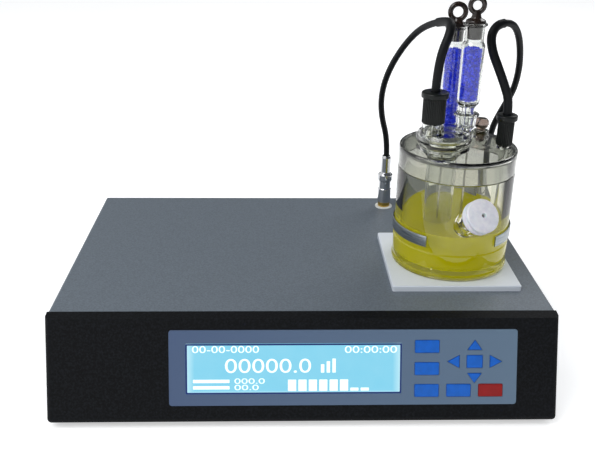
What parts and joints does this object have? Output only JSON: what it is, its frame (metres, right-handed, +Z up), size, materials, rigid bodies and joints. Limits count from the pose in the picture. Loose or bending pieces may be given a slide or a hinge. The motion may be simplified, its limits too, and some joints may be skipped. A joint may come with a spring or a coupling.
{
  "type": "moisture analyzer",
  "caption": "Bench titrator for traces of water: a low casing with a raked display and key panel, and a stirred glass cell with electrodes and drying tubes held on top.",
  "frame": {"origin": "middle of the instrument's footprint, on the table under its feet", "axes": "+X to the right of the user, +Y away from the user, +Z up"},
  "size_m": [0.34, 0.2374, 0.2677],
  "materials": {
    "cover_paint": "fine textured powder coat",
    "inner_steel": "plated sheet",
    "rear_paint": "powder coat",
    "bezel_plastic": "leather grain",
    "foot_rubber": "matt",
    "screw_steel": "zinc plated",
    "panel_film": "satin film",
    "display_glass": "lit display",
    "dark_plastic": "moulded",
    "board": "solder mask",
    "core_steel": "laminated",
    "winding": "taped copper wire",
    "port_shell": "tin plated",
    "motor_steel": "plated",
    "plate_plastic": "white",
    "band_steel": "spring steel",
    "clear_glass": "clear",
    "reagent": "clear liquid, as a solid of the same density",
    "ptfe": "white",
    "septum_rubber": "silicone",
    "frit": "sintered",
    "platinum": "bright",
    "cap_plastic": "ribbed",
    "stopper_glass": "brown",
    "brass": "turned",
    "plug_plate": "nickel plated",
    "lead_rubber": "matt",
    "gel_beads": "beads",
    "key_blue": "satin",
    "key_red": "satin"
  },
  "bodies": {
    "instrument": {"top_cover": "cover_paint", "base_pan": "inner_steel", "stirrer_bracket": "inner_steel", "rear_panel": "rear_paint", "front_bezel": "bezel_plastic", "rubber_feet": "foot_rubber", "case_screws": "screw_steel", "control_panel": "panel_film", "display_lens": "display_glass", "display_frame": "dark_plastic", "board_parts": "dark_plastic", "power_inlet": "dark_plastic", "switch_housing": "dark_plastic", "circuit_boards": "board", "transformer_core": "core_steel", "transformer_coil": "winding", "serial_port": "port_shell", "stirrer_motor": "motor_steel", "cell_plate": "plate_plastic", "cell_clamp": "band_steel", "clamp_bracket": "band_steel", "cell_vessel": "clear_glass", "cell_lid": "clear_glass", "cathode_chamber": "clear_glass", "measuring_electrode": "clear_glass", "anolyte": "reagent", "socket_washers": "ptfe", "diaphragm": "frit", "platinum_electrodes": "platinum", "generator_cap": "cap_plastic", "detector_cap": "cap_plastic", "electrode_sockets": "brass", "generator_plug": "plug_plate", "detector_plug": "plug_plate", "generator_lead": "lead_rubber", "detector_lead": "lead_rubber", "lead_sleeves": "lead_rubber"},
    "rocker": {"power_rocker": "dark_plastic"},
    "fuse_drawer": {"fuse_drawer": "dark_plastic"},
    "stir_rotor": {"stirrer_rotor": "motor_steel"},
    "stir_bar": {"stir_bar": "ptfe"},
    "port_septum": {"port_septum": "septum_rubber"},
    "port_cap": {"port_cap": "ptfe"},
    "vent_stopper": {"vent_stopper": "stopper_glass"},
    "front_tube": {"front_tube": "clear_glass", "front_gel": "gel_beads"},
    "front_stopper": {"front_stopper": "stopper_glass"},
    "rear_tube": {"rear_tube": "clear_glass", "rear_gel": "gel_beads"},
    "rear_stopper": {"rear_stopper": "stopper_glass"},
    "key_set": {"key_set": "key_blue"},
    "key_back": {"key_back": "key_blue"},
    "key_stir": {"key_stir": "key_blue"},
    "key_electrolysis": {"key_electrolysis": "key_blue"},
    "key_start": {"key_start": "key_red"},
    "key_enter": {"key_enter": "key_blue"},
    "key_up": {"key_up": "key_blue"},
    "key_down": {"key_down": "key_blue"},
    "key_left": {"key_left": "key_blue"},
    "key_right": {"key_right": "key_blue"}
  },
  "joints": [
    {"name": "key_set_press", "type": "slide", "parent": "instrument", "child": "key_set", "axis": [0, 0.9439, -0.3301], "range_m": [0, 0.0005], "stiffness_N_per_m": 400},
    {"name": "key_back_press", "type": "slide", "parent": "instrument", "child": "key_back", "axis": [0, 0.9439, -0.3301], "range_m": [0, 0.0005], "stiffness_N_per_m": 400},
    {"name": "key_stir_press", "type": "slide", "parent": "instrument", "child": "key_stir", "axis": [0, 0.9439, -0.3301], "range_m": [0, 0.0005], "stiffness_N_per_m": 400},
    {"name": "key_electrolysis_press", "type": "slide", "parent": "instrument", "child": "key_electrolysis", "axis": [0, 0.9439, -0.3301], "range_m": [0, 0.0005], "stiffness_N_per_m": 400},
    {"name": "key_start_press", "type": "slide", "parent": "instrument", "child": "key_start", "axis": [0, 0.9439, -0.3301], "range_m": [0, 0.0005], "stiffness_N_per_m": 400},
    {"name": "key_enter_press", "type": "slide", "parent": "instrument", "child": "key_enter", "axis": [0, 0.9439, -0.3301], "range_m": [0, 0.0005], "stiffness_N_per_m": 400},
    {"name": "key_up_press", "type": "slide", "parent": "instrument", "child": "key_up", "axis": [0, 0.9439, -0.3301], "range_m": [0, 0.0005], "stiffness_N_per_m": 400},
    {"name": "key_down_press", "type": "slide", "parent": "instrument", "child": "key_down", "axis": [0, 0.9439, -0.3301], "range_m": [0, 0.0005], "stiffness_N_per_m": 400},
    {"name": "key_left_press", "type": "slide", "parent": "instrument", "child": "key_left", "axis": [0, 0.9439, -0.3301], "range_m": [0, 0.0005], "stiffness_N_per_m": 400},
    {"name": "key_right_press", "type": "slide", "parent": "instrument", "child": "key_right", "axis": [0, 0.9439, -0.3301], "range_m": [0, 0.0005], "stiffness_N_per_m": 400},
    {"name": "rocker_tilt", "type": "hinge", "parent": "instrument", "child": "rocker", "pos_m": [-0.084, 0.11224, 0.0381], "axis": [1, 0, 0], "range_deg": [0, 16]},
    {"name": "fuse_drawer_pull", "type": "slide", "parent": "instrument", "child": "fuse_drawer", "axis": [0, 1, 0], "range_m": [0, 0.016]},
    {"name": "stir_rotor_spin", "type": "hinge", "parent": "instrument", "child": "stir_rotor", "pos_m": [0.1108, -0.01326, 0.071], "axis": [0, 0, 1], "continuous": true},
    {"name": "stir_bar_spin", "type": "hinge", "parent": "instrument", "child": "stir_bar", "pos_m": [0.1108, -0.01326, 0.0762], "axis": [0, 0, 1], "continuous": true},
    {"name": "port_septum_draw", "type": "slide", "parent": "instrument", "child": "port_septum", "axis": [0.2767, -0.7602, 0.5878], "range_m": [0, 0.006]},
    {"name": "port_cap_unscrew", "type": "hinge", "parent": "port_septum", "child": "port_cap", "pos_m": [0.11893, -0.06979, 0.13366], "axis": [0.2767, -0.7602, 0.5878], "range_deg": [0, 1080]},
    {"name": "vent_stopper_lift", "type": "slide", "parent": "instrument", "child": "vent_stopper", "axis": [0, 0, 1], "range_m": [0, 0.014]},
    {"name": "front_tube_lift", "type": "slide", "parent": "instrument", "child": "front_tube", "axis": [0, 0, 1], "range_m": [0, 0.022]},
    {"name": "front_stopper_lift", "type": "slide", "parent": "front_tube", "child": "front_stopper", "axis": [0, 0, 1], "range_m": [0, 0.016]},
    {"name": "rear_tube_lift", "type": "slide", "parent": "instrument", "child": "rear_tube", "axis": [0, 0, 1], "range_m": [0, 0.022]},
    {"name": "rear_stopper_lift", "type": "slide", "parent": "rear_tube", "child": "rear_stopper", "axis": [0, 0, 1], "range_m": [0, 0.016]}
  ],
  "couplings": [
    {"joint": "stir_bar_spin", "follows": "stir_rotor_spin", "ratio": 1},
    {"joint": "port_septum_draw", "follows": "port_cap_unscrew", "m_per_rad": 0.0003183}
  ]
}
